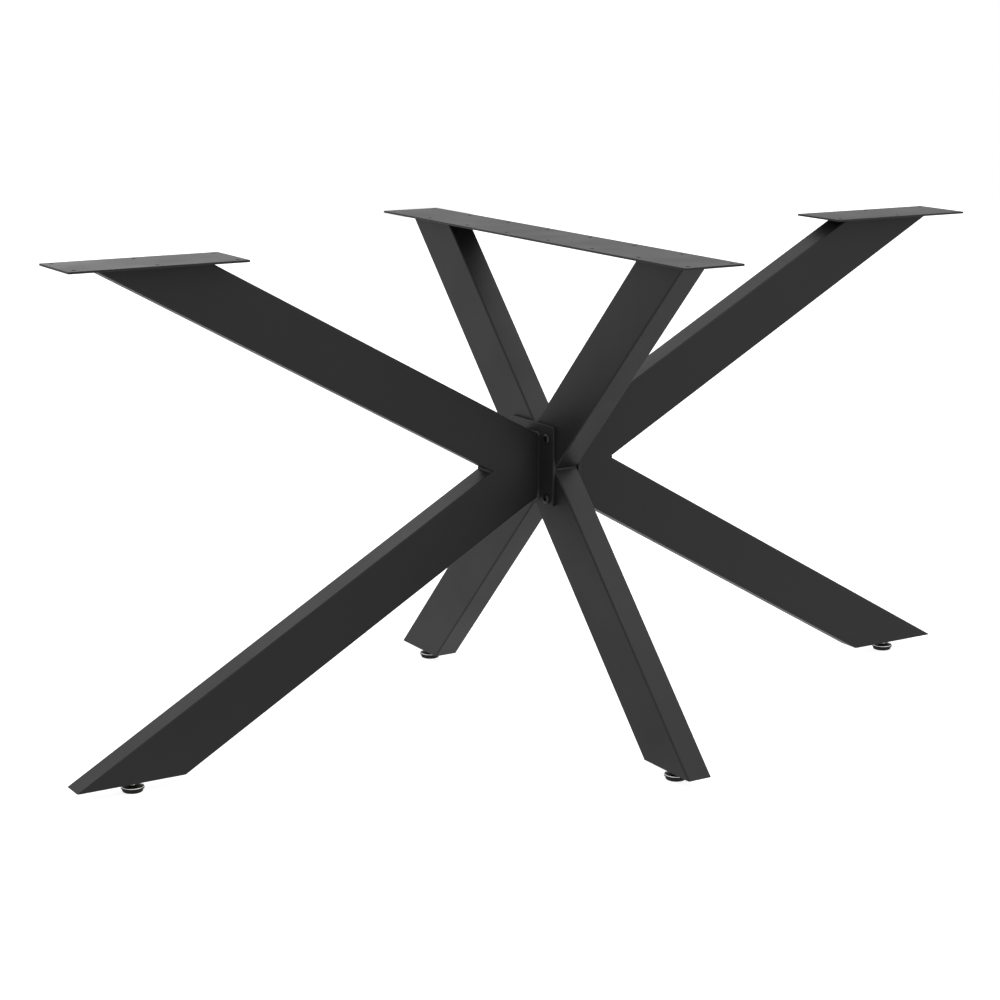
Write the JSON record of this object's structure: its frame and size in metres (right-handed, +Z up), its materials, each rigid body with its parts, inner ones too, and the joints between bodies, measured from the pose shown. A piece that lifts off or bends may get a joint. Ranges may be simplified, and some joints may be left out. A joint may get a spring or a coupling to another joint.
{
  "type": "spider table base",
  "caption": "Spider table base of powder-coated rectangular steel tube: splayed arms and legs cross at a bolted centre joint, with screw plates for a table top and levelling feet.",
  "frame": {"origin": "on the floor, under the point where the four frame tubes cross", "axes": "+X along the table's length, +Y to its back, +Z up"},
  "size_m": [1.4812, 0.79, 0.71],
  "materials": {
    "powder_coated_steel": "fine-textured satin black powder coat",
    "black_bolt_steel": "black zinc-plated, semi-gloss",
    "zinc_plated_steel": "bright zinc plate",
    "nickel_plated_steel": "bright nickel plate",
    "black_foot_plastic": "moulded matt black nylon"
  },
  "bodies": {
    "frame": {"left_upper_arm": "powder_coated_steel", "left_lower_leg": "powder_coated_steel", "right_upper_arm": "powder_coated_steel", "right_lower_leg": "powder_coated_steel", "front_upper_arm": "powder_coated_steel", "front_lower_leg": "powder_coated_steel", "back_upper_arm": "powder_coated_steel", "back_lower_leg": "powder_coated_steel", "left_top_plate": "powder_coated_steel", "centre_top_plate": "powder_coated_steel", "right_top_plate": "powder_coated_steel", "left_flange": "powder_coated_steel", "right_flange": "powder_coated_steel", "left_sole_plate": "powder_coated_steel", "right_sole_plate": "powder_coated_steel", "front_sole_plate": "powder_coated_steel", "back_sole_plate": "powder_coated_steel", "left_weld_nut": "zinc_plated_steel", "right_weld_nut": "zinc_plated_steel", "front_weld_nut": "zinc_plated_steel", "back_weld_nut": "zinc_plated_steel", "left_flange_bolts": "black_bolt_steel", "right_flange_bolts": "black_bolt_steel", "left_threaded_inserts": "zinc_plated_steel", "right_threaded_inserts": "zinc_plated_steel"},
    "left_foot": {"left_foot_stud": "zinc_plated_steel", "left_foot_cap": "nickel_plated_steel", "left_foot_pad": "black_foot_plastic"},
    "right_foot": {"right_foot_stud": "zinc_plated_steel", "right_foot_cap": "nickel_plated_steel", "right_foot_pad": "black_foot_plastic"},
    "front_foot": {"front_foot_stud": "zinc_plated_steel", "front_foot_cap": "nickel_plated_steel", "front_foot_pad": "black_foot_plastic"},
    "back_foot": {"back_foot_stud": "zinc_plated_steel", "back_foot_cap": "nickel_plated_steel", "back_foot_pad": "black_foot_plastic"}
  },
  "joints": [
    {"name": "left_foot_level", "type": "slide", "parent": "frame", "child": "left_foot", "axis": [0, 0, -1], "range_m": [-0.0024, 0.012]},
    {"name": "right_foot_level", "type": "slide", "parent": "frame", "child": "right_foot", "axis": [0, 0, -1], "range_m": [-0.0024, 0.012]},
    {"name": "front_foot_level", "type": "slide", "parent": "frame", "child": "front_foot", "axis": [0, 0, -1], "range_m": [-0.0024, 0.012]},
    {"name": "back_foot_level", "type": "slide", "parent": "frame", "child": "back_foot", "axis": [0, 0, -1], "range_m": [-0.0024, 0.012]}
  ]
}
